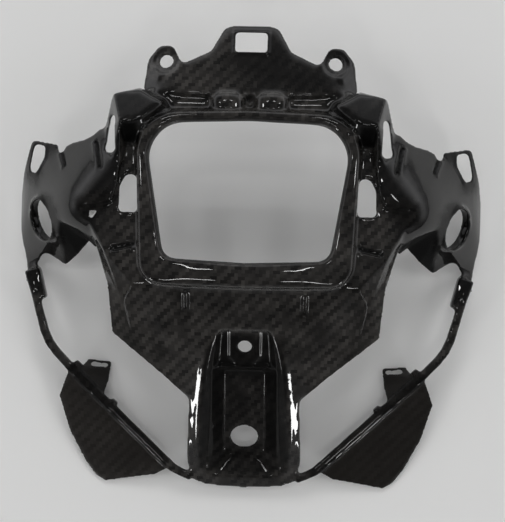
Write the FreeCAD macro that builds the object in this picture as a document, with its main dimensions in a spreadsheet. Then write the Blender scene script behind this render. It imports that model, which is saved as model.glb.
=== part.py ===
import FreeCAD, Part
import math
import os
from FreeCAD import Vector, Placement, Rotation

# Inner fairing panel: one moulded shell, lying face up. X across, Y towards the tongue, Z up.
# The layout is drawn on a field of these sizes and follows the sheet's overall sizes.
FIELD_X = 414.0
FIELD_Y = 401.0
FIELD_Z = 118.0

doc = FreeCAD.newDocument("InnerFairingPanel")
sheet = doc.addObject("Spreadsheet::Sheet", "Sizes")
SIZES = (
    ("panel_width", 414.0),
    ("panel_length", 401.0),
    ("panel_depth", 118.0),
    ("wall", 2.6),
    ("bead_height", 12.0),
    ("bead_round", 3.2),
    ("ear_hole_radius", 5.5),
    ("pad_hole_radius", 12.0),
    ("shelf_hole_radius", 6.0),
    ("bracket_hole_radius", 18.0),
    ("collar_length", 9.0),
    ("rail_width", 7.6),
    ("rail_height", 6.0),
    ("channel_depth", 14.0),
    ("shelf_depth", 7.0),
    ("strip_height", 1.5),
    ("ridge_radius", 4.5),
    ("slit_width", 2.8),
    ("slot_width", 5.0),
    ("groove_depth", 2.4),
    ("boss_height", 7.0),
    ("boss_round", 3.5),
)
for row, (alias, value) in enumerate(SIZES, start=1):
    sheet.set("A%d" % row, alias)
    sheet.set("B%d" % row, str(value))
    sheet.setAlias("B%d" % row, alias)
doc.recompute()


def size(alias):
    return float(sheet.get(alias))


WALL = size("wall")
ACROSS = size("panel_width") / FIELD_X
ALONG = size("panel_length") / FIELD_Y
UP = size("panel_depth") / FIELD_Z
HALF_WIDTH = FIELD_X / 2
HALF_LENGTH = FIELD_Y / 2

# Heights of the main levels on the field.
DASH_Z = 100.0
PANEL_TOP_Y = -16.5
PANEL_FALL = 0.49
CUT_LOW = -20.0
CUT_HIGH = 160.0

# Small allowances: the least cosine of a fold's half turn, how far pieces tuck into each other,
# and how far a tool stands clear of the skin.
SHARPEST_FOLD = 0.6
TUCK = 1.0
CLEAR = 20.0
MOUTH_CLEAR = 0.8


def at(x, y, z):
    return Vector(x * ACROSS, y * ALONG, z * UP)


def panel_z(y):
    # The V panel falls evenly from the bead's foot to the bottom lip.
    return DASH_Z - PANEL_FALL * max(0.0, PANEL_TOP_Y - y)


def on_panel(x, y):
    return at(x, y, panel_z(y))


def add_shape(label, shape):
    item = doc.addObject("Part::Feature", label)
    item.Shape = shape
    item.Label = label
    return item


def newell(points):
    total = Vector()
    for here, after in zip(points, points[1:] + points[:1]):
        total += here.cross(after)
    return total


def fan(points):
    faces = []
    for k in range(1, len(points) - 1):
        loop = [points[0], points[k], points[k + 1], points[0]]
        faces.append(Part.Face(Part.makePolygon(loop)))
    return faces


def key(point):
    return (round(point.x, 4), round(point.y, 4), round(point.z, 4))


def folded_sheet(polygons, wall):
    # A sheet of flat panels folded along shared edges; the wall lies below the drawn side.
    tops = {}
    normals = {}
    facing = []
    for polygon in polygons:
        normal = newell(polygon)
        loop = list(polygon) if normal.z > 0 else list(reversed(polygon))
        normal = newell(loop).normalize()
        facing.append((loop, normal))
        for point in loop:
            tops[key(point)] = point
            normals.setdefault(key(point), []).append(normal)
    lows = {}
    for name, point in tops.items():
        mean = Vector()
        for normal in normals[name]:
            mean += normal
        mean.normalize()
        least = min(mean.dot(normal) for normal in normals[name])
        lows[name] = point - mean * (wall / max(least, SHARPEST_FOLD))
    faces = []
    sides = {}
    for loop, normal in facing:
        faces += fan(loop)
        faces += fan([lows[key(point)] for point in reversed(loop)])
        for here, after in zip(loop, loop[1:] + loop[:1]):
            back = (key(after), key(here))
            if back in sides:
                del sides[back]
            else:
                sides[(key(here), key(after))] = (here, after)
    for here, after in sides.values():
        rim = [here, lows[key(here)], lows[key(after)], after]
        faces += fan(rim)
    shell = Part.makeShell(faces)
    shell.sewShape()
    solid = Part.makeSolid(shell)
    if solid.Volume < 0:
        solid.reverse()
    return solid


def strip(upper, lower):
    # The triangles between two lines of the same number of points.
    faces = []
    for k in range(len(upper) - 1):
        faces.append([upper[k], lower[k], lower[k + 1]])
        faces.append([upper[k], lower[k + 1], upper[k + 1]])
    return faces


def both(polygons):
    # Panels drawn on the right-hand half, with their mirror images.
    images = [[Vector(-p.x, p.y, p.z) for p in polygon] for polygon in polygons]
    return polygons + images


def thick_skin(rows, wall):
    # A smooth skin through rows of points, with its wall below.
    top = Part.BSplineSurface()
    top.interpolate(rows)
    middle = top.normal(0.5, 0.5)
    below = -wall if middle.z > 0 else wall
    return top.toShape().makeOffsetShape(below, 1e-3, fill=True)


def outline(corners):
    # A closed wire through corners (x, y, radius), each rounded by its radius.
    wire = []
    count = len(corners)
    starts = []
    ends = []
    arcs = []
    for k, (x, y, radius) in enumerate(corners):
        here = at(x, y, 0)
        before = at(corners[k - 1][0], corners[k - 1][1], 0)
        after = at(corners[(k + 1) % count][0], corners[(k + 1) % count][1], 0)
        into = (before - here).normalize()
        out = (after - here).normalize()
        half = into.getAngle(out) / 2
        if radius <= 0 or abs(half - math.pi / 2) < 1e-3:
            starts.append(here)
            ends.append(here)
            arcs.append(None)
            continue
        reach = radius / math.tan(half)
        middle = (into + out).normalize()
        centre = here + middle * (radius / math.sin(half))
        starts.append(here + into * reach)
        ends.append(here + out * reach)
        arcs.append(Part.Arc(starts[-1], centre - middle * radius, ends[-1]).toShape())
    for k in range(count):
        if arcs[k] is not None:
            wire.append(arcs[k])
        following = starts[(k + 1) % count]
        if ends[k].distanceToPoint(following) > 1e-4:
            wire.append(Part.makeLine(ends[k], following))
    return Part.Wire(wire)


def mirrored(corners):
    # Completes a right-hand half outline, drawn from the bottom up, with its left-hand half.
    left = [(-x, y, radius) for x, y, radius in reversed(corners) if abs(x) > 1e-6]
    return list(corners) + left


def prism(label, wire, low, high):
    face = Part.Face(wire)
    face.translate(Vector(0, 0, low * UP))
    return add_shape(label, face.extrude(Vector(0, 0, (high - low) * UP)))


def capsule(label, start, end, width):
    # A slot with round ends, cut straight down.
    a = at(start[0], start[1], 0)
    b = at(end[0], end[1], 0)
    side = Vector(0, 0, 1).cross(b - a).normalize() * (width / 2)
    along = (b - a).normalize() * (width / 2)
    edges = [
        Part.makeLine(a + side, b + side),
        Part.Arc(b + side, b + along, b - side).toShape(),
        Part.makeLine(b - side, a - side),
        Part.Arc(a - side, a - along, a + side).toShape(),
    ]
    return prism(label, Part.Wire(edges), CUT_LOW, CUT_HIGH)


def bar(label, points, width, height):
    # A bar of upright rectangular section along a line on its top.
    sections = []
    for k, point in enumerate(points):
        before = points[max(k - 1, 0)]
        after = points[min(k + 1, len(points) - 1)]
        run = after - before
        across = Vector(-run.y, run.x, 0).normalize() * (width / 2)
        down = Vector(0, 0, -height)
        corners = [point + across, point - across, point - across + down, point + across + down]
        sections.append(Part.makePolygon(corners + corners[:1]))
    return add_shape(label, Part.makeLoft(sections, True, True))


right = []
centre = []
right_cuts = []
centre_cuts = []


def groove(label, points, width):
    # A blind slot along a line on the skin, and the rib that closes it from below.
    depth = size("groove_depth")
    above = [point + Vector(0, 0, CLEAR) for point in points]
    below = [point - Vector(0, 0, TUCK) for point in points]
    right_cuts.append(bar(label, above, width, CLEAR + depth))
    right.append(bar(label + "Rib", below, width + 2 * WALL, depth + WALL - TUCK))


def fuse(label, shapes):
    item = doc.addObject("Part::MultiFuse", label)
    item.Shapes = shapes
    item.Refine = False
    return item


def compound(label, shapes):
    item = doc.addObject("Part::Compound", label)
    item.Links = shapes
    return item


def top_edges(item, level, radius):
    # The edges round the top of an upright block, each with its fillet radius.
    found = []
    for number, edge in enumerate(item.Shape.Edges, start=1):
        if edge.BoundBox.ZMin > (level - 0.1) * UP:
            found.append((number, radius, radius))
    return found


def cut(label, base, tool):
    item = doc.addObject("Part::Cut", label)
    item.Base = base
    item.Tool = tool
    item.Refine = False
    return item


def mirror(label, source):
    item = doc.addObject("Part::Mirroring", label)
    item.Source = source
    item.Base = Vector(0, 0, 0)
    item.Normal = Vector(1, 0, 0)
    return item


# Window and bead: the instrument opening and the raised frame round it.
WINDOW = [
    (0, 2.6, 0),
    (67.6, 5.4, 12),
    (86.0, 115.0, 29),
    (0, 118.2, 0),
]
FRAME = [
    (0, -18.0, 0),
    (86.0, -16.0, 20),
    (92.0, 123.0, 34),
    (0, 126.0, 0),
]


def inset(corners, step):
    # Half outline moved inwards by a step, keeping its round corners in proportion.
    lowest = min(y for x, y, radius in corners)
    highest = max(y for x, y, radius in corners)
    middle = (lowest + highest) / 2
    moved = []
    for x, y, radius in corners:
        new_x = x - step if x > 0 else 0
        new_y = y - step if y > middle else y + step
        moved.append((new_x, new_y, max(radius - step, 0)))
    return moved


BEAD_Z = DASH_Z + size("bead_height")
BEAD_FOOT = DASH_Z - 6.0
frame_block = prism("FrameBlock", outline(mirrored(FRAME)), BEAD_FOOT, BEAD_Z)
frame_hollow = prism("FrameHollow", outline(mirrored(inset(FRAME, WALL))), BEAD_FOOT - 1, BEAD_Z - WALL)
frame_ring = prism("FrameRing", outline(mirrored(inset(WINDOW, -WALL))), BEAD_FOOT - 2, BEAD_Z - WALL / 2)
window = prism("Window", outline(mirrored(WINDOW)), CUT_LOW, CUT_HIGH)
frame_open = cut("FrameOpen", frame_block, frame_hollow)
frame_rim = doc.addObject("Part::Common", "FrameRim")
frame_rim.Base = frame_ring
frame_rim.Tool = frame_block
frame_whole = fuse("FrameWhole", [frame_open, frame_rim])
bead = cut("Bead", frame_whole, window)
doc.recompute()
bead_round = doc.addObject("Part::Fillet", "BeadRound")
bead_round.Base = bead
bead_round.Edges = top_edges(bead, BEAD_Z, size("bead_round"))
centre.append(bead_round)
FOOT = [(64, -15.9, 0), (84, -15.9, 0), (84, 4, 0)]
FOOT_SINK = 0.3
right.append(prism("FrameFoot", outline(FOOT), DASH_Z - WALL - FOOT_SINK, DASH_Z - FOOT_SINK))

# The bead's lower bar is crowned.
CROWN_HALF = (76.0, 9.6, 3.4)
CROWN_SINK = 1.5
crown_ball = Part.makeSphere(1.0)
crown_scale = FreeCAD.Matrix()
crown_scale.scale(CROWN_HALF[0] * ACROSS, CROWN_HALF[1] * ALONG, CROWN_HALF[2] * UP)
crown = add_shape("BeadCrown", crown_ball.transformGeometry(crown_scale))
crown.Placement = Placement(at(0, -7.4, BEAD_Z - CROWN_SINK), Rotation())
centre.append(crown)

# V panel, dash sides and folded side walls.
CREASE = {
    "top": at(139, 47.5, 97),
    "high": at(129, 33.5, 99),
    "bend": at(116, 10.5, DASH_Z),
    "foot": on_panel(92, PANEL_TOP_Y),
    "mid": on_panel(83, -26.5),
    "low": on_panel(60, -75),
    "end": on_panel(46, -107.5),
}
EDGE = {
    "top": at(126, 16.5, 88),
    "high": at(133, 32, 91),
    "side": at(117, -16.5, 76),
    "corner": at(114, -59.5, 62),
    "turn": at(97, -74, 60),
    "low": at(68, -98, 55.5),
    "end": on_panel(48.5, -116),
    "stem": on_panel(49.5, -137.5),
    "heel": on_panel(51.5, -175.5),
    "toe": on_panel(46.5, -193.5),
    "lip": on_panel(34, -198.5),
    "lip_mid": on_panel(20, -200),
}
BAND_HIGH = at(102, -31, 88)
BAND_LOW = at(97, -56, 75)
DASH = [
    at(82, 98, DASH_Z),
    at(100, 98, DASH_Z),
    at(104, 86, DASH_Z),
    at(110, 68, DASH_Z),
    at(113, 52, DASH_Z),
]
DASH_INNER = at(82, PANEL_TOP_Y, DASH_Z)
MID_Y = (PANEL_TOP_Y, -26.5, -75, -116, -175.5, -HALF_LENGTH)
MID = [on_panel(0, y) for y in MID_Y]
FLANGE_DROP = 9.0
FLANGE_OUT = 2.0
body = folded_sheet(both([
    DASH + [CREASE["bend"], CREASE["foot"], DASH_INNER],
    [DASH[4], CREASE["top"], CREASE["high"]],
    [DASH[4], CREASE["high"], CREASE["bend"]],
    [MID[0], DASH_INNER, CREASE["mid"], MID[1]],
    [DASH_INNER, CREASE["foot"], CREASE["mid"]],
    [MID[1], CREASE["mid"], CREASE["low"], MID[2]],
    [MID[2], CREASE["low"], CREASE["end"], EDGE["end"], MID[3]],
    [MID[3], EDGE["end"], EDGE["stem"], EDGE["heel"], MID[4]],
    [MID[4], EDGE["heel"], EDGE["toe"], EDGE["lip"], EDGE["lip_mid"], MID[5]],
    [CREASE["top"], EDGE["high"], CREASE["high"]],
    [CREASE["high"], EDGE["high"], EDGE["top"]],
    [CREASE["high"], EDGE["top"], CREASE["bend"]],
    [CREASE["bend"], EDGE["top"], EDGE["side"]],
    [CREASE["bend"], EDGE["side"], BAND_HIGH],
    [BAND_HIGH, EDGE["side"], EDGE["corner"]],
    [BAND_HIGH, EDGE["corner"], BAND_LOW],
    [CREASE["bend"], BAND_HIGH, CREASE["foot"]],
    [CREASE["foot"], BAND_HIGH, CREASE["mid"]],
    [CREASE["mid"], BAND_HIGH, BAND_LOW],
    [CREASE["mid"], BAND_LOW, CREASE["low"]],
    [BAND_LOW, EDGE["corner"], EDGE["turn"]],
    [BAND_LOW, EDGE["turn"], CREASE["low"]],
    [CREASE["low"], EDGE["turn"], EDGE["low"]],
    [CREASE["low"], EDGE["low"], CREASE["end"]],
    [CREASE["end"], EDGE["low"], EDGE["end"]],
]), WALL)
centre.insert(0, add_shape("BodyPanel", body))

# Turned-down flange round the stem and the bottom lip.
STEM_NAMES = ("low", "end", "stem", "heel", "toe", "lip", "lip_mid")
STEM_CENTRE = at(0, -120, 0)
stem_edge = [EDGE[name] for name in STEM_NAMES] + [MID[5]]
stem_high = []
stem_low = []
for point in stem_edge:
    inward = STEM_CENTRE - point
    inward.z = 0
    inward.normalize()
    drop = min(FLANGE_DROP * UP, point.z - WALL / 4)
    stem_high.append(point + inward * FLANGE_OUT - Vector(0, 0, WALL / 3))
    stem_low.append(point - Vector(0, 0, drop))
centre.append(add_shape("StemFlange", folded_sheet(both(strip(stem_high, stem_low)), WALL)))

# Channel: a tray sunk in the V panel, with a shelf above and a pad below, and a ridge on each side.
PANEL_TILT = math.atan(PANEL_FALL * UP / ALONG)
PANEL_PLACE = Placement(
    on_panel(0, PANEL_TOP_Y),
    Rotation(Vector(1, 0, 0), math.degrees(PANEL_TILT)),
)


def down_panel(y):
    return (y - PANEL_TOP_Y) / math.cos(PANEL_TILT)


def panel_outline(corners, step):
    placed = [(x, down_panel(y), radius) for x, y, radius in corners]
    return outline(mirrored(inset(placed, step)))


def sunk(label, mouth, floor, depth, step):
    # A tapered pocket between its mouth on the panel and its floor.
    upper = panel_outline(mouth, step)
    lower = panel_outline(floor, step)
    upper.translate(Vector(0, 0, MOUTH_CLEAR if step >= 0 else -WALL / 3))
    lower.translate(Vector(0, 0, -depth + step))
    item = add_shape(label, Part.makeLoft([upper, lower], True, True))
    item.Placement = PANEL_PLACE
    return item


PAD_MOUTH = [(0, -189, 0), (35.0, -189, 10), (28.5, -84, 6), (0, -84, 0)]
PAD_FLOOR = [(0, -177, 0), (17.5, -177, 8), (17.5, -96, 4), (0, -96, 0)]
SHELF_MOUTH = [(0, -92, 0), (29.0, -92, 3), (23.0, -53, 7), (0, -53, 0)]
SHELF_FLOOR = [(0, -86, 0), (22.0, -86, 3), (20.0, -56, 5), (0, -56, 0)]
pad_cavity = sunk("PadCavity", PAD_MOUTH, PAD_FLOOR, size("channel_depth"), 0)
pad_tray = sunk("PadTray", PAD_MOUTH, PAD_FLOOR, size("channel_depth"), -WALL)
shelf_cavity = sunk("ShelfCavity", SHELF_MOUTH, SHELF_FLOOR, size("shelf_depth"), 0)
shelf_tray = sunk("ShelfTray", SHELF_MOUTH, SHELF_FLOOR, size("shelf_depth"), -WALL)
STRIP = [(0, -89, 0), (4.0, -89, 2), (13.0, -80, 3), (13.0, -54, 0), (0, -54, 0)]
STRIP_SINK = 0.3
strip_rise = Vector(0, 0, size("strip_height") + STRIP_SINK)
strip_plate = add_shape("ShelfStrip", Part.Face(panel_outline(STRIP, 0)).extrude(strip_rise))
strip_low = Vector(0, 0, -size("shelf_depth") - STRIP_SINK)
strip_plate.Placement = PANEL_PLACE.multiply(Placement(strip_low, Rotation()))
RIDGE_LINE = (
    (25.0, -56.0, -5.0),
    (31.0, -71.0, -2.2),
    (35.8, -102.0, -1.6),
    (38.2, -122.0, -1.6),
    (39.6, -172.0, -2.0),
    (38.6, -190.0, -5.0),
)
ridge_path = Part.BSplineCurve()
ridge_path.interpolate([Vector(x * ACROSS, down_panel(y) * ALONG, z) for x, y, z in RIDGE_LINE])
ridge_start = ridge_path.value(ridge_path.FirstParameter)
ridge_run = ridge_path.tangent(ridge_path.FirstParameter)[0]
ridge_disc = Part.Face(Part.Wire(Part.makeCircle(size("ridge_radius"), ridge_start, ridge_run)))
ridge = add_shape("Ridge", Part.Wire(ridge_path.toShape()).makePipe(ridge_disc))
ridge.Placement = PANEL_PLACE

# Tongue: an arched plate with two ears and a strap slot.
TONGUE_BASE_Y = 138.0
TONGUE_Z = 102.0
TONGUE_FALL = 0.335
TONGUE_SIDE_X = 94.0
EAR_START = 48.0
EAR_FALL = 13.0


def tongue_z(x, y):
    beyond = max(0.0, abs(x) - EAR_START) / (TONGUE_SIDE_X - EAR_START)
    return TONGUE_Z - TONGUE_FALL * (y - TONGUE_BASE_Y) - EAR_FALL * beyond * beyond


TONGUE_X = (-94, -76, -58, -40, -20, 0, 20, 40, 58, 76, 94)
TONGUE_Y = (134, 158, 182, 206)
tongue_rows = [[at(x, y, tongue_z(x, y)) for x in TONGUE_X] for y in TONGUE_Y]
tongue_skin = add_shape("TongueSkin", thick_skin(tongue_rows, WALL))
TONGUE = [
    (0, TONGUE_BASE_Y, 0),
    (89, TONGUE_BASE_Y + 2, 3),
    (86, 171, 10),
    (76, 182.5, 7),
    (65, 182, 8),
    (56.5, 165.5, 4),
    (33, 177.5, 8),
    (22, HALF_LENGTH, 12),
    (0, HALF_LENGTH, 0),
]
tongue_block = prism("TongueBlock", outline(mirrored(TONGUE)), CUT_LOW, CUT_HIGH)
tongue = doc.addObject("Part::Common", "Tongue")
tongue.Base = tongue_skin
tongue.Tool = tongue_block
centre.append(tongue)

# Groove between the bead and the tongue, with two half-round bosses across it.
GROOVE_Z = 97.0
GROOVE_INNER = [at(0, 122.5, 106), at(0, 129, GROOVE_Z), at(0, 137, GROOVE_Z), at(0, 142, 100.2)]
GROOVE_OUTER = [at(76, 121, 105), at(73, 129, GROOVE_Z), at(80, 137, GROOVE_Z), at(90, 142, 96.6)]
centre.append(add_shape("Groove", folded_sheet(both(strip(GROOVE_INNER, GROOVE_OUTER)), WALL)))
BOSS = [(5, 125.5, 4), (31, 125.5, 6), (31, 141, 7), (5, 141, 7)]
boss_block = prism("BossBlock", outline(BOSS), GROOVE_Z - WALL, GROOVE_Z + size("boss_height"))
boss = doc.addObject("Part::Fillet", "Boss")
boss.Base = boss_block
boss.Edges = top_edges(boss_block, GROOVE_Z + size("boss_height"), size("boss_round"))
centre.append(boss)
centre.append(mirror("LeftBoss", boss))

# Wing and bracket: a smooth skin falling outwards from the dash to the bracket's foot.
WING_X = (100, 120, 139, 158, 180, 210)
WING_HEIGHTS = (
    (116, (98, 86, 70, 55, 40, 24)),
    (95, (106, 97, 82, 66, 48, 20)),
    (72, (108, 103, 92, 76, 53, 9)),
    (53, (107, 104.5, 98.5, 82, 54, 6.5)),
    (20, (100, 92, 77, 59, 39, 6.5)),
    (-20, (64, 56, 46, 34, 24, 15)),
)
wing_rows = [[at(x, y, z) for x, z in zip(WING_X, heights)] for y, heights in WING_HEIGHTS]
wing_solid = thick_skin(wing_rows, WALL)
wing_top = Part.BSplineSurface()
wing_top.interpolate(wing_rows)
wing_face = wing_top.toShape()
wing_skin = add_shape("WingSkin", wing_solid)


def on_wing(x, y, sink):
    # The point of the wing's skin over a place on the field, sunk into its wall.
    line = Part.makeLine(at(x, y, CUT_LOW), at(x, y, CUT_HIGH))
    touch = wing_face.distToShape(line)[1][0][0]
    return touch - Vector(0, 0, sink)


WING = [
    (102.6, 86, 0),
    (106, 64, 0),
    (110.5, 50.5, 5),
    (136, 46.5, 0),
    (124.5, 17, 0),
    (127, 14.5, 0),
    (138.5, 26.5, 3),
    (159, 34.5, 5),
    (161.5, 12, 10),
    (164.5, -4, 2),
    (182, 9, 7),
    (191, -2, 6),
    (193.5, -19, 0),
    (201, -19, 0),
    (204, 2, 20),
    (206.5, 25, 40),
    (HALF_WIDTH, 44, 40),
    (HALF_WIDTH, 60, 20),
    (203.5, 78, 20),
    (198, 92, 8),
    (193, 107.5, 4),
    (165.5, 100.5, 3),
    (163, 92, 2),
    (159.5, 92.5, 2),
    (156.5, 98.5, 3),
    (149, 101.5, 10),
    (139, 102.5, 20),
    (130, 106, 10),
    (123.5, 111.5, 2),
    (114, 110, 0),
]
wing_block = prism("WingBlock", outline(WING), CUT_LOW, CUT_HIGH)
wing = doc.addObject("Part::Common", "Wing")
wing.Base = wing_skin
wing.Tool = wing_block
right.append(wing)

# Shoulder: a flat top falling away from the brow, with its step wall, pillar and side wall,
# and the low wall where the wing steps down to the dash.
BROW_Y = 113.5
BROW_FALL = 0.45


def on_brow(x, y):
    return at(x, y, FIELD_Z - BROW_FALL * (y - BROW_Y))


BROW = [
    on_brow(103, BROW_Y),
    on_brow(85, 117),
    on_brow(70, 130.5),
    on_brow(89, 142),
    on_brow(105, 138.5),
    on_brow(109.5, 137),
]
STEP_FOOT = [at(100, 95, 98.6), at(84, 98, 98.6)]
PILLAR_TOP = on_wing(104.5, 83, 0.6)
PILLAR_FOOT = at(101, 82, 98.6)
BEAD_SIDE = [at(82, 113, 101), at(66, 126.5, 100)]
TONGUE_SIDE = [at(68, 135.5, 95.5), at(90, 145, 95)]
SIDE_LOW = [at(114.5, 131, 95), on_wing(119.5, 118, 2), on_wing(121.5, 108, 1.2), on_wing(111.5, 81, 1.2)]
BACK_LOW = [TONGUE_SIDE[1], at(106, 140.5, 96), at(112, 138, 97)]
right.append(add_shape("Shoulder", folded_sheet([
    BROW,
    [BROW[1], BROW[0], STEP_FOOT[0]],
    [BROW[1], STEP_FOOT[0], STEP_FOOT[1]],
    [BROW[0], PILLAR_TOP, PILLAR_FOOT],
    [BROW[0], PILLAR_FOOT, STEP_FOOT[0]],
    [BROW[1], STEP_FOOT[1], BEAD_SIDE[0]],
    [BROW[1], BEAD_SIDE[0], BEAD_SIDE[1]],
    [BROW[1], BEAD_SIDE[1], BROW[2]],
    [BROW[2], BEAD_SIDE[1], TONGUE_SIDE[0]],
    [BROW[2], TONGUE_SIDE[0], TONGUE_SIDE[1]],
    [BROW[2], TONGUE_SIDE[1], BROW[3]],
    [BROW[3], BACK_LOW[0], BACK_LOW[1]],
    [BROW[3], BACK_LOW[1], BROW[4]],
    [BROW[4], BACK_LOW[1], BACK_LOW[2]],
    [BROW[4], BACK_LOW[2], BROW[5]],
    [BROW[5], BACK_LOW[2], SIDE_LOW[0]],
    [BROW[0], BROW[5], SIDE_LOW[0]],
    [BROW[0], SIDE_LOW[0], SIDE_LOW[1]],
    [BROW[0], SIDE_LOW[1], SIDE_LOW[2]],
    [BROW[0], SIDE_LOW[2], SIDE_LOW[3]],
    [BROW[0], SIDE_LOW[3], PILLAR_TOP],
], WALL)))
STEP_TOP = ((104.8, 87), (107.5, 64), (112, 51.5), (136, 47.5))
STEP_HIGH = [on_wing(x, y, 0.9) for x, y in STEP_TOP]
STEP_LOW = [at(101.8, 87, 98.2), at(105.5, 64, 98.4), at(110, 48, 98.4), at(134, 44.5, 96)]
right.append(add_shape("WingStep", folded_sheet(strip(STEP_HIGH, STEP_LOW), WALL)))

# Web under the band's lower edge, with the arch cut out of its foot.
WEB_HIGH = [on_wing(160, 32, 1), on_wing(158, 34, 1), on_wing(138, 27, 1), on_wing(127, 16, 1)]
WEB_LOW = [on_wing(163.5, -2, 1), at(150, 6, 38), at(136, 18, 58), at(127, 12, 74)]
right.append(add_shape("Web", folded_sheet(strip(WEB_HIGH, WEB_LOW), WALL)))

# Collared hole of the bracket, square to its skin.
COLLAR_PROUD = 0.4
HOLE_AT = on_wing(180.5, 35.5, 0)
hole_axis = wing_top.normal(*wing_top.parameter(HOLE_AT))
if hole_axis.z < 0:
    hole_axis = -hole_axis
HOLE_TURN = Rotation(Vector(0, 0, 1), hole_axis)
collar = doc.addObject("Part::Cylinder", "Collar")
collar.setExpression("Radius", "Sizes.bracket_hole_radius + Sizes.wall")
collar.setExpression("Height", "Sizes.collar_length")
collar.Placement = Placement(HOLE_AT - hole_axis * (size("collar_length") - COLLAR_PROUD), HOLE_TURN)
right.append(collar)
hole = doc.addObject("Part::Cylinder", "BracketHole")
hole.setExpression("Radius", "Sizes.bracket_hole_radius")
hole.setExpression("Height", "Sizes.collar_length * 4")
hole.Placement = Placement(HOLE_AT - hole_axis * (size("collar_length") * 2), HOLE_TURN)
right_cuts.append(hole)

# Rail from the bracket down to the bottom lip, with its clip block and two bumps.
RAIL = [
    at(198, -8, 21),
    at(190.5, -28, 25),
    at(185.5, -46, 25.5),
    at(181, -62, 25),
    at(176.5, -72, 24.5),
    at(170, -81, 24),
    at(158, -93.5, 23.5),
    at(111, -138.5, 20),
    at(64, -183.5, 16.5),
    at(47, -191, 15.5),
]
right.append(bar("Rail", RAIL, size("rail_width"), size("rail_height")))
CLIP_SECTION = (9.0, 11.0)
BUMP_SECTION = (6.0, 8.0)
right.append(bar("ClipBlock", [at(192.5, -6, 20), at(184.5, -34, 23.5)], *CLIP_SECTION))
right.append(bar("UpperBump", [at(154, -90, 23), at(149, -94.5, 22.6)], *BUMP_SECTION))
right.append(bar("LowerBump", [at(121, -124, 20.4), at(116, -128.5, 20)], *BUMP_SECTION))

# Lower wing: a flat kite hanging from the rail, and the tab that reaches in under it.
KITE_RAIL = [at(158, -94.5, 22), at(66, -182.5, 15)]
KITE_LOW = at(144.5, -182.5, 5)
kite_normal = (KITE_RAIL[1] - KITE_RAIL[0]).cross(KITE_LOW - KITE_RAIL[0])


def on_kite(x, y):
    flat = at(x, y, 0) - Vector(KITE_RAIL[0].x, KITE_RAIL[0].y, 0)
    rise = -(kite_normal.x * flat.x + kite_normal.y * flat.y) / kite_normal.z
    return Vector(x * ACROSS, y * ALONG, KITE_RAIL[0].z + rise)


KITE = [
    KITE_RAIL[0],
    on_kite(164, -109),
    on_kite(168.5, -121),
    on_kite(159.5, -153),
    KITE_LOW,
    on_kite(135, -195),
    on_kite(127, -199.8),
    on_kite(80, -191),
    KITE_RAIL[1],
]
right.append(add_shape("LowerWing", folded_sheet([KITE], WALL)))
TAB = [at(150.7, -97, 21), at(145, -88, 2.8), at(123, -90, 2.8), at(124, -105.5, 8), at(127.6, -121.5, 19)]
right.append(add_shape("Tab", folded_sheet([
    [TAB[0], TAB[1], TAB[2]],
    [TAB[0], TAB[2], TAB[3]],
    [TAB[0], TAB[3], TAB[4]],
], WALL)))

# Openings cut straight down.
right_cuts.append(prism("LoopWindow", outline([
    (189.5, 102.5, 3),
    (178.5, 99.5, 3),
    (178, 90, 4),
    (186.5, 77, 4),
    (195, 80, 4),
]), CUT_LOW, CUT_HIGH))
right_cuts.append(prism("SideSlot", outline([
    (107.5, 90, 3),
    (117, 91, 3),
    (114.5, 119, 3),
    (108.5, 123, 3),
]), CUT_LOW, CUT_HIGH))
right_cuts.append(prism("DashWindow", outline([
    (89.8, 42, 3),
    (104.6, 42.5, 3),
    (103.8, 63, 8),
    (99, 72.5, 4),
    (90.8, 72.5, 4),
]), CUT_LOW, CUT_HIGH))
groove("DashSlot", [at(89.5, 16.5, DASH_Z), at(111, 11.6, DASH_Z)], size("slot_width"))
groove("PanelSlot", [on_panel(49, -21), on_panel(49, -40)], size("slot_width"))
groove("WingSlit", [on_wing(126.3 - 1.65 * k, 101 - 6 * k, 0) for k in range(5)], size("slit_width"))
groove("NotchSlit", [on_wing(160.5 - 2 * k, 94 - 4.7 * k, 0) for k in range(4)], size("slit_width"))
right_cuts.append(capsule("TabSlot", (127.5, -93.5), (140, -92.3), size("slit_width")))
ear_hole = doc.addObject("Part::Cylinder", "EarHole")
ear_hole.setExpression("Radius", "Sizes.ear_hole_radius")
ear_hole.setExpression("Height", "Sizes.panel_depth * 2")
EAR_HOLE = (70, 168)
ear_hole.Placement = Placement(at(*EAR_HOLE, CUT_LOW), Rotation())
right_cuts.append(ear_hole)
centre_cuts.append(prism("StrapSlot", outline([
    (-13.2, 176.5, 2),
    (13.2, 176.5, 2),
    (13.2, 193.5, 2),
    (-13.2, 193.5, 2),
]), CUT_LOW, CUT_HIGH))
PANEL_HOLES = (
    ("PadHole", "pad_hole_radius", -159.5),
    ("ShelfHole", "shelf_hole_radius", -71.2),
)
for label, radius, y in PANEL_HOLES:
    tube = doc.addObject("Part::Cylinder", label)
    tube.setExpression("Radius", "Sizes." + radius)
    tube.setExpression("Height", "Sizes.channel_depth * 4")
    reach = Vector(0, down_panel(y) * ALONG, -size("channel_depth") * 2)
    tube.Placement = PANEL_PLACE.multiply(Placement(reach, Rotation()))
    centre_cuts.append(tube)

# Sides and centre joined to one moulding: trays under the panel, their hollows, the ridges, the openings.
left = [mirror("Left" + item.Label, item) for item in right]
joined = fuse("Joined", centre + right + left + [pad_tray, shelf_tray])
hollowed = cut("Hollowed", joined, compound("Hollows", [pad_cavity, shelf_cavity, window]))
ridged = fuse("Ridged", [hollowed, strip_plate, ridge, mirror("LeftRidge", ridge)])
tools = compound("RightOpenings", right_cuts)
openings = compound("Openings", [tools, mirror("LeftOpenings", tools)] + centre_cuts)
panel = cut("Panel", ridged, openings)
panel.Refine = True
doc.recompute()

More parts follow.
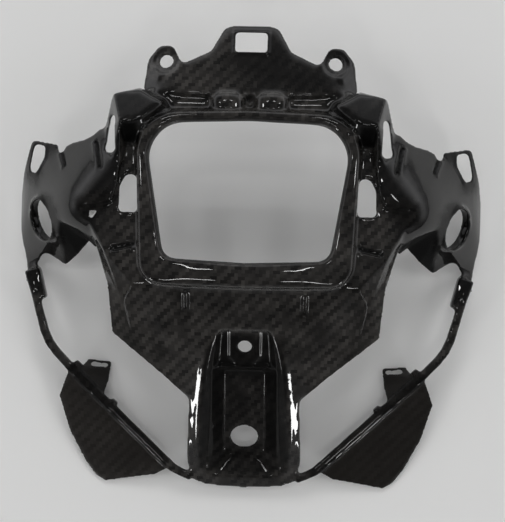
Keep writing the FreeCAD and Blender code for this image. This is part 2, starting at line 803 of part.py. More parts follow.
for item in doc.Objects:
    if "Invalid" in item.State or "Error" in item.State:
        raise RuntimeError("not built: " + item.Label)
    if hasattr(item, "Shape") and (item.Shape.isNull() or not item.Shape.isValid()):
        raise RuntimeError("not sound: " + item.Label)

box = panel.Shape.optimalBoundingBox(False, False)
whole = add_shape("inner_fairing_panel", panel.Shape.copy())
whole.Placement = Placement(Vector(0, -(box.YMin + box.YMax) / 2, -box.ZMin), Rotation())
os.makedirs("parts", exist_ok=True)
whole.Shape.exportStep("parts/inner_fairing_panel.step")
print("done", len(whole.Shape.Solids), whole.Shape.isValid(), whole.Shape.optimalBoundingBox(False, False))
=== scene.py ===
import math
import bpy
from mathutils import Matrix, Vector


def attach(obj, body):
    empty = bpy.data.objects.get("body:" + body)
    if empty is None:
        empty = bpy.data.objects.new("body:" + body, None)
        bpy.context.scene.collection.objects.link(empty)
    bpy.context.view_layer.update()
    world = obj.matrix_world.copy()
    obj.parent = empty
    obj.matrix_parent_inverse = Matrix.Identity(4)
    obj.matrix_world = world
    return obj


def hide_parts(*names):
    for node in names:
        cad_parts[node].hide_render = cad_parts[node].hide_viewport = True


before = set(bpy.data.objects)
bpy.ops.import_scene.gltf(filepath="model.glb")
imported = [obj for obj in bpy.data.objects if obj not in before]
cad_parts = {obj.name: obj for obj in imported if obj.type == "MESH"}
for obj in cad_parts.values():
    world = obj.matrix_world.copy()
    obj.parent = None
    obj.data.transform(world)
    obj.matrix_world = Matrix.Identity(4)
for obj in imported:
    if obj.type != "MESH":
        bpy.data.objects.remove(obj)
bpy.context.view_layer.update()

scene = bpy.context.scene


def deselectAll():
    if bpy.context.object and bpy.context.object.mode != "OBJECT":
        bpy.ops.object.mode_set(mode="OBJECT")
    bpy.ops.object.select_all(action="DESELECT")


def makeActive(piece):
    deselectAll()
    piece.select_set(True)
    bpy.context.view_layer.objects.active = piece


def applyModifier(piece, kind, name, **settings):
    makeActive(piece)
    modifier = piece.modifiers.new(name, kind)
    for key, value in settings.items():
        setattr(modifier, key, value)
    bpy.ops.object.modifier_apply(modifier=modifier.name)


def clamp(value):
    return min(max(value, 0.0), 1.0)


# From 0 to 1 with a soft start and a soft end.
def ease(share):
    return share * share * (3 - 2 * share)


# The shell is symmetric, so places on it are read on the plan of the right half.
def planOf(place):
    return Vector((abs(place.x), place.y))


def besideRun(flat, start, end):
    run = end - start
    along = clamp((flat - start).dot(run) / run.length_squared)
    return (flat - start - run * along).length


def besideLine(flat, corners):
    return min(besideRun(flat, start, end) for start, end in zip(corners, corners[1:]))


# The moulded shell: the solid's own form, with every edge softened as lacquer leaves it.
shellForm = {
    "weld": 1e-6,           # joins the loose corners of the CAD mesh
    "voxel": 0.0012,        # finer than half the wall
    "softPasses": 5,        # rounding of edges and folds
    "softFactor": 0.5,
    "keepShare": 0.40,      # triangles kept after smoothing
}

# Places where the moulding rolls over more softly: low corner, high corner, passes.
rolls = [
    {"name": "bead", "low": (-0.01, -0.024, 0.094), "high": (0.0935, 0.113, 0.130), "passes": 40},
    {"name": "trough", "low": (-0.01, 0.106, 0.085), "high": (0.100, 0.146, 0.130), "passes": 44},
    {"name": "bosses", "low": (0.001, 0.120, 0.090), "high": (0.037, 0.147, 0.130), "passes": 12},
    {"name": "wingStep", "low": (0.098, 0.036, 0.092), "high": (0.142, 0.094, 0.125), "passes": 16},
    {"name": "wingRim", "low": (0.176, -0.010, -0.01), "high": (0.215, 0.118, 0.090), "passes": 9},
    {"name": "tongueRim", "low": (-0.01, 0.186, 0.070), "high": (0.040, 0.210, 0.110), "passes": 6},
    {"name": "band", "low": (0.118, -0.004, 0.060), "high": (0.170, 0.040, 0.110), "passes": 12},
    {"name": "creases", "low": (0.040, -0.120, 0.040), "high": (0.112, -0.018, 0.099), "passes": 10},
    {"name": "ridges", "low": (0.027, -0.188, -0.01), "high": (0.060, -0.050, 0.100), "passes": 46},
    {"name": "apron", "low": (-0.01, -0.196, -0.01), "high": (0.034, -0.166, 0.050), "passes": 12},
    {"name": "rails", "low": (0.055, -0.210, -0.01), "high": (0.205, -0.020, 0.060), "passes": 6},
    {"name": "clip", "low": (0.168, -0.055, -0.01), "high": (0.220, 0.010, 0.100), "passes": 10},
]
rollFade = 0.004        # each softening fades out over this margin


def rollEdges(shell):
    for roll in rolls:
        group = shell.vertex_groups.new(name=roll["name"])
        for vertex in shell.data.vertices:
            place = (abs(vertex.co.x), vertex.co.y, vertex.co.z)
            margin = min(min(value - low, high - value)
                         for value, low, high in zip(place, roll["low"], roll["high"]))
            if margin > 0:
                group.add([vertex.index], min(margin / rollFade, 1.0), "REPLACE")
        applyModifier(shell, "SMOOTH", roll["name"], factor=shellForm["softFactor"],
                      iterations=roll["passes"], vertex_group=roll["name"])


# The two bosses in the trough are crowned.
bossCrown = {"centre": (0.018, 0.1335), "reach": (0.0135, 0.0085), "rise": 0.0022}


def crownBosses(shell):
    for vertex in shell.data.vertices:
        across = (abs(vertex.co.x) - bossCrown["centre"][0]) / bossCrown["reach"][0]
        along = (vertex.co.y - bossCrown["centre"][1]) / bossCrown["reach"][1]
        vertex.co.z += bossCrown["rise"] * max(1.0 - across * across - along * along, 0.0)


# Shallow pressed dishes round the ear holes, each with a slanting rib below it.
dish = {"centre": (0.070, 0.168), "flat": 0.0085, "edge": 0.0125, "depth": 0.0011}
rib = {"start": (0.0755, 0.1545), "end": (0.0845, 0.1655), "reach": 0.0030, "rise": 0.0011}
earArea = {"leastX": 0.052, "leastY": 0.150}


def pressDishes(shell):
    start = Vector(rib["start"])
    end = Vector(rib["end"])
    centre = Vector(dish["centre"])
    for vertex in shell.data.vertices:
        flat = planOf(vertex.co)
        if flat.x < earArea["leastX"] or flat.y < earArea["leastY"]:
            continue
        share = clamp((dish["edge"] - (flat - centre).length) / (dish["edge"] - dish["flat"]))
        beside = besideRun(flat, start, end) / rib["reach"]
        vertex.co.z += rib["rise"] * math.exp(-beside * beside) - dish["depth"] * ease(share)


# Raised lips round the openings, as loops on the plan of the right half.
lips = {
    "loopWindow": {
        "reach": 0.0042, "rise": 0.0016,
        "loop": [(0.1895, 0.1025), (0.1785, 0.0995), (0.178, 0.090), (0.1865, 0.077), (0.195, 0.080)],
    },
    "dashWindow": {
        "reach": 0.0034, "rise": 0.0011,
        "loop": [(0.0898, 0.042), (0.1046, 0.0425), (0.1038, 0.063), (0.099, 0.0725), (0.0908, 0.0725)],
    },
    "strapSlot": {
        "reach": 0.0040, "rise": 0.0014,
        "loop": [(-0.0132, 0.1765), (0.0132, 0.1765), (0.0132, 0.193), (-0.0132, 0.193)],
    },
}


def raiseLips(shell):
    for lip in lips.values():
        corners = [Vector(corner) for corner in lip["loop"]]
        middle = sum(corners, Vector((0, 0))) / len(corners)
        far = max((corner - middle).length for corner in corners) + lip["reach"]
        for vertex in shell.data.vertices:
            flat = planOf(vertex.co)
            if (flat - middle).length > far:
                continue
            share = max(1.0 - besideLine(flat, corners + corners[:1]) / lip["reach"], 0.0)
            vertex.co.z += lip["rise"] * ease(share)


# The tongue's rim turns down along its top and shoulders.
tongueRoll = {
    "reach": 0.0075,
    "drop": 0.0011,
    "mostX": 0.055,
    "leastY": 0.155,
    "line": [(-0.010, 0.2003), (0.0185, 0.2000), (0.0255, 0.1920), (0.0360, 0.1765), (0.0520, 0.1690)],
}


def turnRim(shell):
    corners = [Vector(corner) for corner in tongueRoll["line"]]
    for vertex in shell.data.vertices:
        flat = planOf(vertex.co)
        if flat.x < tongueRoll["mostX"] and flat.y > tongueRoll["leastY"]:
            share = max(1.0 - besideLine(flat, corners) / tongueRoll["reach"], 0.0)
            vertex.co.z -= tongueRoll["drop"] * share * share


def makeShell():
    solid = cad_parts["inner_fairing_panel"]
    shell = bpy.data.objects.new("mouldedShell", solid.data.copy())
    bpy.context.collection.objects.link(shell)
    makeActive(shell)
    bpy.ops.object.mode_set(mode="EDIT")
    bpy.ops.mesh.select_all(action="SELECT")
    bpy.ops.mesh.remove_doubles(threshold=shellForm["weld"])
    bpy.ops.object.mode_set(mode="OBJECT")
    applyModifier(shell, "REMESH", "evenMesh", mode="VOXEL", voxel_size=shellForm["voxel"])
    print("even mesh", len(shell.data.polygons))
    applyModifier(shell, "SMOOTH", "softEdges", factor=shellForm["softFactor"],
                  iterations=shellForm["softPasses"])
    rollEdges(shell)
    crownBosses(shell)
    pressDishes(shell)
    raiseLips(shell)
    turnRim(shell)
    applyModifier(shell, "DECIMATE", "thinOut", ratio=shellForm["keepShare"])
    makeActive(shell)
    bpy.ops.object.shade_smooth()
    shell.data.materials.clear()
    print("shell triangles", sum(len(face.vertices) - 2 for face in shell.data.polygons))
    return shell


def node(tree, kind, place, **settings):
    item = tree.nodes.new(kind)
    item.location = place
    for key, value in settings.items():
        setattr(item, key, value)
    return item


def maths(tree, operation, place, first, second=None):
    item = node(tree, "ShaderNodeMath", place, operation=operation)
    for slot, value in enumerate((first, second)):
        if value is None:
            continue
        if isinstance(value, (int, float)):
            item.inputs[slot].default_value = value
        else:
            tree.links.new(value, item.inputs[slot])
    return item.outputs[0]


def blend(tree, place, share, first, second):
    mix = node(tree, "ShaderNodeMix", place, data_type="FLOAT")
    tree.links.new(share, mix.inputs["Factor"])
    tree.links.new(first, mix.inputs["A"])
    tree.links.new(second, mix.inputs["B"])
    return mix.outputs["Result"]


def remap(tree, place, source, toRange, fromRange=(0.0, 1.0), **settings):
    item = node(tree, "ShaderNodeMapRange", place, **settings)
    item.inputs["From Min"].default_value = fromRange[0]
    item.inputs["From Max"].default_value = fromRange[1]
    item.inputs["To Min"].default_value = toRange[0]
    item.inputs["To Max"].default_value = toRange[1]
    tree.links.new(source, item.inputs["Value"])
    return item.outputs["Result"]


# 2x2 twill: two tows over, two under, each step shifted by one.
twill = {
    "over": 2.0,
    "repeat": 4.0,
    "steep": 0.8,       # walls steeper than this are woven along Z
}


# A tow's height across its width: 1 in the middle, 0 at its edges.
def towCrown(tree, spot, value):
    inside = maths(tree, "FRACT", spot, value)
    centred = maths(tree, "SUBTRACT", (spot[0] + 120, spot[1]), inside, 0.5)
    square = maths(tree, "MULTIPLY", (spot[0] + 240, spot[1]), centred, centred)
    fall = maths(tree, "MULTIPLY", (spot[0] + 360, spot[1]), square, 4.0)
    return maths(tree, "SUBTRACT", (spot[0] + 480, spot[1]), 1.0, fall)


def makeTwillGroup():
    group = bpy.data.node_groups.new("twillWeave", "ShaderNodeTree")
    group.interface.new_socket("Place", in_out="INPUT", socket_type="NodeSocketVector")
    group.interface.new_socket("Facing", in_out="INPUT", socket_type="NodeSocketVector")
    group.interface.new_socket("Tow", in_out="INPUT", socket_type="NodeSocketFloat")
    group.interface.new_socket("Warp", in_out="OUTPUT", socket_type="NodeSocketFloat")
    group.interface.new_socket("Height", in_out="OUTPUT", socket_type="NodeSocketFloat")
    group.interface.new_socket("Shade", in_out="OUTPUT", socket_type="NodeSocketFloat")
    start = node(group, "NodeGroupInput", (-1400, 0))
    end = node(group, "NodeGroupOutput", (900, 0))
    place = node(group, "ShaderNodeSeparateXYZ", (-1200, 200))
    facing = node(group, "ShaderNodeSeparateXYZ", (-1200, -200))
    group.links.new(start.outputs["Place"], place.inputs[0])
    group.links.new(start.outputs["Facing"], facing.inputs[0])
    leanX = maths(group, "ABSOLUTE", (-1100, -200), facing.outputs[0])
    leanY = maths(group, "ABSOLUTE", (-1100, -400), facing.outputs[1])
    steepX = maths(group, "GREATER_THAN", (-1000, -200), leanX, twill["steep"])
    steepY = maths(group, "GREATER_THAN", (-1000, -400), leanY, twill["steep"])
    steep = maths(group, "MAXIMUM", (-900, -300), steepX, steepY)
    across = blend(group, (-800, 300), steepX, place.outputs[0], place.outputs[1])
    along = blend(group, (-800, 100), steep, place.outputs[1], place.outputs[2])

    # Which column and row of the weave, and whether the warp or the weft lies on top.
    u = maths(group, "DIVIDE", (-600, 300), across, start.outputs["Tow"])
    v = maths(group, "DIVIDE", (-600, 100), along, start.outputs["Tow"])
    column = maths(group, "FLOOR", (-450, 300), u)
    row = maths(group, "FLOOR", (-450, 100), v)
    shift = maths(group, "SUBTRACT", (-300, 200), column, row)
    step = maths(group, "FLOORED_MODULO", (-150, 200), shift, twill["repeat"])
    warp = maths(group, "LESS_THAN", (0, 200), step, twill["over"] - 0.5)
    height = blend(group, (600, -200), warp, towCrown(group, (0, -150), v), towCrown(group, (0, -350), u))

    # Each visible float of a tow has a shade of its own.
    tow = blend(group, (200, 500), warp, row, column)
    lifted = maths(group, "MULTIPLY", (-250, 750), warp, twill["over"])
    moved = maths(group, "ADD", (-100, 650), shift, lifted)
    turns = maths(group, "DIVIDE", (0, 650), moved, twill["repeat"])
    turn = maths(group, "FLOOR", (100, 650), turns)
    number = node(group, "ShaderNodeCombineXYZ", (350, 600))
    group.links.new(tow, number.inputs["X"])
    group.links.new(turn, number.inputs["Y"])
    group.links.new(warp, number.inputs["Z"])
    chance = node(group, "ShaderNodeTexWhiteNoise", (500, 600), noise_dimensions="3D")
    group.links.new(number.outputs[0], chance.inputs["Vector"])
    group.links.new(chance.outputs["Value"], end.inputs["Shade"])
    group.links.new(warp, end.inputs["Warp"])
    group.links.new(height, end.inputs["Height"])
    return group


twillWeave = makeTwillGroup()
print("twill made")

# Black carbon under clear lacquer: gloss on the body, satin on the lower wings, plain on their tabs.
glossFinish = {
    "tow": 0.0028,
    "warpColour": (0.046, 0.043, 0.040, 1),
    "weftColour": (0.002, 0.002, 0.002, 1),
    "spread": (0.5, 1.0),       # shades of the warp
    "under": (0.2, 0.55),       # shades of the weft
    "patches": (0.45, 1.1),     # broad uneven areas
    "coat": 1.0,
    "coatRoughness": 0.03,
}
satinFinish = {
    "tow": 0.0028,
    "warpColour": (0.040, 0.037, 0.034, 1),
    "weftColour": (0.009, 0.008, 0.007, 1),
    "spread": (0.5, 0.75),
    "under": (0.2, 0.5),
    "patches": (0.7, 1.0),
    "coat": 0.3,
    "coatRoughness": 0.32,
}
tabFinish = dict(satinFinish, warpColour=(0.016, 0.015, 0.014, 1), weftColour=(0.015, 0.014, 0.013, 1))
finishes = {"glossCarbon": glossFinish, "satinCarbon": satinFinish, "plainTab": tabFinish}

# What all three finishes share.
carbonBase = {
    "patchScale": 45.0,
    "patchDetail": 1.0,
    "patchNoise": (0.35, 0.65),
    "bump": 0.10,
    "bumpDepth": 0.0003,
    "roughness": 0.45,
    "specular": 0.04,
}


def makeCarbon(name, finish):
    material = bpy.data.materials.new(name)
    material.use_nodes = True
    tree = material.node_tree
    shader = tree.nodes["Principled BSDF"]
    place = node(tree, "ShaderNodeTexCoord", (-1100, 100))
    weave = node(tree, "ShaderNodeGroup", (-800, 100))
    weave.node_tree = twillWeave
    weave.inputs["Tow"].default_value = finish["tow"]
    tree.links.new(place.outputs["Object"], weave.inputs["Place"])
    tree.links.new(place.outputs["Normal"], weave.inputs["Facing"])

    # How much of the warp's colour shows: by tow, by patch and by the piece's own clothAndShade attribute,
    # which also carries painted shade.
    over = remap(tree, (-640, 300), weave.outputs["Shade"], finish["spread"])
    under = remap(tree, (-640, -50), weave.outputs["Shade"], finish["under"])
    share = blend(tree, (-560, 100), weave.outputs["Warp"], under, over)
    clothAndShade = node(tree, "ShaderNodeAttribute", (-800, 400), attribute_name="clothAndShade")
    patch = node(tree, "ShaderNodeTexNoise", (-800, 600))
    patch.inputs["Scale"].default_value = carbonBase["patchScale"]
    patch.inputs["Detail"].default_value = carbonBase["patchDetail"]
    tree.links.new(place.outputs["Object"], patch.inputs["Vector"])
    uneven = remap(tree, (-600, 600), patch.outputs[0], finish["patches"], carbonBase["patchNoise"])
    seen = maths(tree, "MULTIPLY", (-500, 400), clothAndShade.outputs["Fac"], uneven)
    amount = maths(tree, "MULTIPLY", (-480, 300), share, seen)
    colour = node(tree, "ShaderNodeMix", (-450, 200), data_type="RGBA")
    colour.inputs["A"].default_value = finish["weftColour"]
    colour.inputs["B"].default_value = finish["warpColour"]
    tree.links.new(amount, colour.inputs["Factor"])
    tree.links.new(colour.outputs["Result"], shader.inputs["Base Color"])

    # Coat weight follows the piece's lacquerAndShade attribute, which is thinned where shade is painted.
    lacquerAndShade = node(tree, "ShaderNodeAttribute", (-500, -500), attribute_name="lacquerAndShade")
    coat = maths(tree, "MULTIPLY", (-300, -500), lacquerAndShade.outputs["Fac"], finish["coat"])
    tree.links.new(coat, shader.inputs["Coat Weight"])
    bump = node(tree, "ShaderNodeBump", (-300, -300))
    bump.inputs["Strength"].default_value = carbonBase["bump"]
    bump.inputs["Distance"].default_value = carbonBase["bumpDepth"]
    tree.links.new(weave.outputs["Height"], bump.inputs["Height"])
    tree.links.new(bump.outputs["Normal"], shader.inputs["Normal"])
    shader.inputs["Roughness"].default_value = carbonBase["roughness"]
    shader.inputs["Specular IOR Level"].default_value = carbonBase["specular"]
    shader.inputs["Coat Roughness"].default_value = finish["coatRoughness"]
    return material


# Zones where the cloth shows more or less or the lacquer is thinner, and zones darkened as painted shade in
# recesses, slits, a crease, round openings and on the right lower wing, as outlines on the plan of the
# right half.
# A later zone lies over an earlier one. Both halves share a zone unless it is rightOnly, and a zone with a
# top stays below that height.
zones = {
    "wing": {
        "clothAndShade": 0.2, "lacquerAndShade": 1.0,
        "outline": [(0.100, 0.130), (0.106, 0.064), (0.112, 0.046), (0.124, 0.020), (0.120, -0.030),
                    (0.220, -0.030), (0.220, 0.130)],
    },
    # Painted shade: the frame round the bracket window is made black, with little weave and a thin coat.
    "loopFrame": {
        "clothAndShade": 0.05, "lacquerAndShade": 0.4,
        "outline": [(0.196, 0.110), (0.180, 0.111), (0.163, 0.0985), (0.1765, 0.088), (0.182, 0.076),
                    (0.1837, 0.065), (0.200, 0.071)],
    },
    "dashCorner": {
        "clothAndShade": 0.2, "lacquerAndShade": 1.0,
        "outline": [(0.060, 0.122), (0.102, 0.100), (0.130, 0.118), (0.110, 0.160), (0.062, 0.146)],
    },
    # Painted shade: the recesses at the dash corners are made black, with no weave and no coat.
    "cornerRecess": {
        "clothAndShade": 0.0, "lacquerAndShade": 0.0,
        "outline": [(0.088, 0.098), (0.1015, 0.098), (0.103, 0.113), (0.089, 0.1145)],
    },
    "vPanel": {
        "clothAndShade": 1.25, "lacquerAndShade": 1.0,
        "outline": [(-0.01, -0.019), (0.110, -0.019), (0.115, -0.060), (0.052, -0.120), (-0.01, -0.120)],
    },
    # Painted shade: the slits in the V panel are darkened and their coat thinned.
    "slit": {
        "clothAndShade": 0.8, "lacquerAndShade": 0.3,
        "outline": [(0.044, -0.046), (0.057, -0.046), (0.057, -0.021), (0.044, -0.021)],
    },
    # Painted shade: the web under the band is made black, with no weave and no coat.
    "web": {
        "clothAndShade": 0.0, "lacquerAndShade": 0.0, "top": 0.090,
        "outline": [(0.118, -0.012), (0.128, 0.021), (0.163, 0.037), (0.166, -0.012)],
    },
    # Painted shade: the wing slit is made black, with no weave and little coat.
    "wingSlit": {
        "clothAndShade": 0.0, "lacquerAndShade": 0.15,
        "outline": [(0.1283, 0.1015), (0.1243, 0.1015), (0.1177, 0.0765), (0.1217, 0.0765)],
    },
    # Painted shade: the notch slit is made black, with no weave and little coat.
    "notchSlit": {
        "clothAndShade": 0.0, "lacquerAndShade": 0.15,
        "outline": [(0.1625, 0.0942), (0.1585, 0.0948), (0.1525, 0.0797), (0.1565, 0.0791)],
    },
    # Painted shade: the dash slot is darkened, with little weave.
    "dashSlot": {
        "clothAndShade": 0.1, "lacquerAndShade": 0.8,
        "outline": [(0.0895, 0.0190), (0.0895, 0.0140), (0.1110, 0.0091), (0.1110, 0.0141)],
    },
    # Painted shade: the fold by the wing step is darkened and its coat thinned.
    "fold": {
        "clothAndShade": 0.3, "lacquerAndShade": 0.12,
        "outline": [(0.112, 0.060), (0.142, 0.054), (0.142, 0.036), (0.126, 0.036), (0.112, 0.050)],
    },
    "rail": {
        "clothAndShade": 0.3, "lacquerAndShade": 0.3,
        "outline": [(0.060, -0.180), (0.154, -0.089), (0.164, -0.097), (0.070, -0.190)],
    },
    # Painted shade: the collar round the bracket hole is made black, with little weave and a thin coat.
    "collar": {
        "clothAndShade": 0.05, "lacquerAndShade": 0.4,
        "outline": [(0.1891, 0.0327), (0.1896, 0.0462), (0.1814, 0.0568), (0.1694, 0.0583),
                    (0.1599, 0.0433), (0.1594, 0.0298), (0.1676, 0.0192), (0.1796, 0.0177)],
    },
    "sideWall": {
        "clothAndShade": 1.25, "lacquerAndShade": 0.03,
        "outline": [(0.122, -0.014), (0.092, -0.014), (0.050, -0.096), (0.056, -0.118), (0.075, -0.118),
                    (0.125, -0.060)],
    },
    # Painted shade: the channel's recess is darkened, with faint weave and a thin coat.
    "channel": {
        "clothAndShade": 0.15, "lacquerAndShade": 0.25,
        "outline": [(-0.01, -0.0575), (0.023, -0.0575), (0.028, -0.064), (0.0315, -0.071),
                    (0.0355, -0.085), (0.0365, -0.095), (0.040, -0.184), (-0.01, -0.184)],
    },
    # Painted shade: the pad in the channel is darkened and its coat thinned.
    "pad": {
        "clothAndShade": 0.6, "lacquerAndShade": 0.25,
        "outline": [(-0.01, -0.098), (0.0185, -0.098), (0.0185, -0.165), (-0.01, -0.165)],
    },
    "flange": {
        "clothAndShade": 1.0, "lacquerAndShade": 0.12,
        "outline": [(0.0525, -0.112), (0.070, -0.112), (0.070, -0.190), (0.0545, -0.190)],
    },
    "apron": {
        "clothAndShade": 0.4, "lacquerAndShade": 0.1,
        "outline": [(-0.01, -0.166), (0.036, -0.166), (0.040, -0.184), (-0.01, -0.184)],
    },
    # Painted shade: the window's inner rim is darkened and its coat thinned.
    "windowRim": {
        "clothAndShade": 0.3, "lacquerAndShade": 0.1,
        "outline": [(-0.01, 0.0014), (0.056, 0.0037), (0.066, 0.0068), (0.0695, 0.013), (0.0818, 0.0825),
                    (0.081, 0.095), (0.0756, 0.1067), (0.066, 0.113), (0.053, 0.1174), (-0.01, 0.1194)],
    },
    "tongueRight": {
        "clothAndShade": 0.25, "lacquerAndShade": 1.0, "rightOnly": True,
        "outline": [(-0.015, 0.142), (0.095, 0.142), (0.095, 0.210), (-0.015, 0.210)],
    },
    # Painted shade: the right lower wing is made darker than the left, with fainter weave and a thinner
    # coat.
    "lowerWingRight": {
        "clothAndShade": 0.3, "lacquerAndShade": 0.6, "rightOnly": True, "top": 0.024,
        "outline": [(0.060, -0.205), (0.210, -0.205), (0.210, -0.070), (0.060, -0.175)],
    },
}
zoneFade = 3        # steps along the mesh over which zone edges fade


def insideOutline(x, y, outline):
    inside = False
    for (ax, ay), (bx, by) in zip(outline, outline[1:] + outline[:1]):
        if (ay > y) != (by > y) and x < ax + (bx - ax) * (y - ay) / (by - ay):
            inside = not inside
    return inside


# Each vertex with itself and the vertices it shares an edge with.
def nearVertices(shell):
    near = [[vertex.index] for vertex in shell.data.vertices]
    for edge in shell.data.edges:
        first, second = edge.vertices
        near[first].append(second)
        near[second].append(first)
    return near


def markZones(shell):
    marks = {name: [1.0] * len(shell.data.vertices) for name in ("clothAndShade", "lacquerAndShade")}
    for vertex in shell.data.vertices:
        for zone in zones.values():
            x = vertex.co.x if zone.get("rightOnly") else abs(vertex.co.x)
            if vertex.co.z < zone.get("top", math.inf) and insideOutline(x, vertex.co.y, zone["outline"]):
                for name, values in marks.items():
                    values[vertex.index] = zone[name]
    near = nearVertices(shell)
    for name, values in marks.items():
        for _ in range(zoneFade):
            values = [sum(values[other] for other in others) / len(others) for others in near]
        shell.data.attributes.new(name, "FLOAT", "POINT").data.foreach_set("value", values)


# The lower wings lie outside the rails' straight runs, and their tabs inside them.
railRun = {"inner": (0.064, -0.1835), "outer": (0.158, -0.0935), "clear": 0.0052}
lowerWing = {"topY": -0.086, "topZ": 0.024}
tab = {"x": (0.119, 0.152), "y": (-0.122, -0.086)}


def finishAt(place):
    x = abs(place.x)
    innerX, innerY = railRun["inner"]
    runX = railRun["outer"][0] - innerX
    runY = railRun["outer"][1] - innerY
    beyond = ((x - innerX) * runY - (place.y - innerY) * runX) / math.hypot(runX, runY)
    if beyond > railRun["clear"] and place.z < lowerWing["topZ"] and place.y < lowerWing["topY"]:
        return "satinCarbon"
    inTab = tab["x"][0] < x < tab["x"][1] and tab["y"][0] < place.y < tab["y"][1]
    if inTab and beyond < -railRun["clear"]:
        return "plainTab"
    return "glossCarbon"


shell = makeShell()
markZones(shell)
print("zones marked", len(zones))
for name, finish in finishes.items():
    shell.data.materials.append(makeCarbon(name, finish))
finishOrder = list(finishes)
for face in shell.data.polygons:
    face.material_index = finishOrder.index(finishAt(face.center))
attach(shell, "root")
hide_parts("inner_fairing_panel")
print("shell dressed")

# Pale floor.
floorForm = {"size": 6.0, "colour": (0.88, 0.88, 0.87, 1), "roughness": 0.9, "specular": 0.0}


def makeFloor():
    deselectAll()
    bpy.ops.mesh.primitive_plane_add(size=floorForm["size"], location=(0, 0, 0))
    floor = bpy.context.object
    floor.name = "paleFloor"
    material = bpy.data.materials.new("paleFloor")
    material.use_nodes = True
    shader = material.node_tree.nodes["Principled BSDF"]
    shader.inputs["Base Color"].default_value = floorForm["colour"]
    shader.inputs["Roughness"].default_value = floorForm["roughness"]
    shader.inputs["Specular IOR Level"].default_value = floorForm["specular"]
    floor.data.materials.append(material)


makeFloor()

# Light: a soft room, bright round its foot and dim overhead, darker where the viewer stands.
room = {
    "foot": 1.10,
    "top": 0.08,
    "dimRise": (0.20, 0.70),        # from the foot's level to the top's
    "ground": 0.25,
    "groundRise": (-0.05, 0.28),    # from the ground's level to the foot's
    "frontDim": 0.75,
    "frontReach": (0.05, -0.6),     # from the full level to the dimmed front
    "backdrop": 0.55,               # what the camera sees past the floor
    "tint": (1.0, 1.0, 1.02, 1),
}
# Small lamps that leave the white lines on edges.
lamps = [
    {"name": "backLeftLamp", "place": (-0.30, 0.62, 1.75), "size": (0.22, 0.05), "power": 0.8},
    {"name": "backRightLamp", "place": (0.22, 0.62, 1.75), "size": (0.22, 0.05), "power": 0.8},
    {"name": "browLeftLamp", "place": (-0.30, -0.72, 1.70), "size": (0.22, 0.05), "power": 0.8},
    {"name": "browRightLamp", "place": (0.22, -0.72, 1.70), "size": (0.22, 0.05), "power": 0.8},
    {"name": "sideLeftLamp", "place": (-0.75, 0.20, 1.45), "size": (0.06, 0.14), "power": 0.65},
    {"name": "sideRightLamp", "place": (0.75, 0.20, 1.45), "size": (0.06, 0.14), "power": 0.65},
    {"name": "frontLeftLamp", "place": (-1.08, -1.43, 0.60), "size": (0.18, 0.30), "power": 4.0},
    {"name": "frontRightLamp", "place": (1.08, -1.43, 0.60), "size": (0.18, 0.30), "power": 4.0},
]
# Broad fills that light the floor and are hidden from reflections.
fills = [
    {"name": "leftFill", "place": (-1.7, 0.1, 1.33), "size": (1.2, 0.8), "power": 6},
    {"name": "rightFill", "place": (1.7, 0.1, 1.33), "size": (1.2, 0.8), "power": 6},
    {"name": "backFill", "place": (0.0, 1.75, 1.37), "size": (1.6, 0.8), "power": 14},
    {"name": "frontFill", "place": (0.0, -2.0, 0.60), "size": (1.4, 0.4), "power": 3},
]


def makeLamp(lamp, reflects):
    light = bpy.data.lights.new(lamp["name"], "AREA")
    light.shape = "RECTANGLE"
    light.size, light.size_y = lamp["size"]
    light.energy = lamp["power"]
    holder = bpy.data.objects.new(lamp["name"], light)
    bpy.context.collection.objects.link(holder)
    holder.location = lamp["place"]
    holder.rotation_euler = Vector(lamp["place"]).to_track_quat("Z", "Y").to_euler()
    holder.visible_glossy = reflects


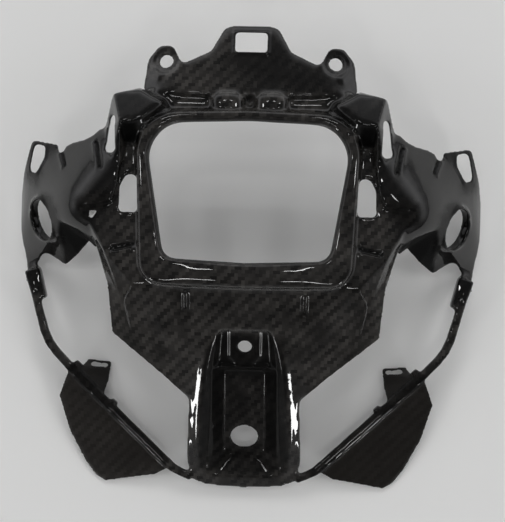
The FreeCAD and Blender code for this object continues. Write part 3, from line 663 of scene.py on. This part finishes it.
def makeRoom():
    world = bpy.data.worlds.new("softRoom")
    world.use_nodes = True
    tree = world.node_tree
    background = tree.nodes["Background"]
    soft = {"interpolation_type": "SMOOTHSTEP"}
    place = node(tree, "ShaderNodeTexCoord", (-1200, 0))
    look = node(tree, "ShaderNodeSeparateXYZ", (-1000, 0))
    tree.links.new(place.outputs["Generated"], look.inputs[0])
    rise = remap(tree, (-800, 150), look.outputs["Z"], (room["foot"], room["top"]), room["dimRise"], **soft)
    groundShare = (room["ground"] / room["foot"], 1.0)
    skirt = remap(tree, (-800, 400), look.outputs["Z"], groundShare, room["groundRise"], **soft)
    frontShare = (1.0, 1.0 - room["frontDim"])
    front = remap(tree, (-800, -150), look.outputs["Y"], frontShare, room["frontReach"], **soft)
    wall = maths(tree, "MULTIPLY", (-600, 200), rise, skirt)
    level = maths(tree, "MULTIPLY", (-500, 0), wall, front)
    ray = node(tree, "ShaderNodeLightPath", (-500, 300))
    shown = node(tree, "ShaderNodeMix", (-300, 0), data_type="FLOAT")
    tree.links.new(ray.outputs["Is Camera Ray"], shown.inputs["Factor"])
    tree.links.new(level, shown.inputs["A"])
    shown.inputs["B"].default_value = room["backdrop"]
    background.inputs["Color"].default_value = room["tint"]
    tree.links.new(shown.outputs["Result"], background.inputs["Strength"])
    scene.world = world
    for lamp in lamps:
        makeLamp(lamp, True)
    for lamp in fills:
        makeLamp(lamp, False)


makeRoom()

# Camera: nearly straight above, a little to the right, turned slightly.
photoView = {
    "place": (0.024, 0.0045, 0.9),
    "aim": (0.0032, 0.0045, 0.0),
    "turn": math.radians(1.39),
    "lens": 70.2,
    "sensor": 36.0,
}


def makeCamera():
    lensData = bpy.data.cameras.new("photoCamera")
    lensData.lens = photoView["lens"]
    lensData.sensor_fit = "HORIZONTAL"
    lensData.sensor_width = photoView["sensor"]
    camera = bpy.data.objects.new("photoCamera", lensData)
    bpy.context.collection.objects.link(camera)
    place = Vector(photoView["place"])
    back = (place - Vector(photoView["aim"])).normalized()
    up = Vector((-math.sin(photoView["turn"]), math.cos(photoView["turn"]), 0))
    right = up.cross(back).normalized()
    up = back.cross(right)
    camera.matrix_world = Matrix((
        (right.x, up.x, back.x, place.x),
        (right.y, up.y, back.y, place.y),
        (right.z, up.z, back.z, place.z),
        (0, 0, 0, 1),
    ))
    scene.camera = camera


makeCamera()
scene.view_settings.view_transform = "Standard"
print("stage set")
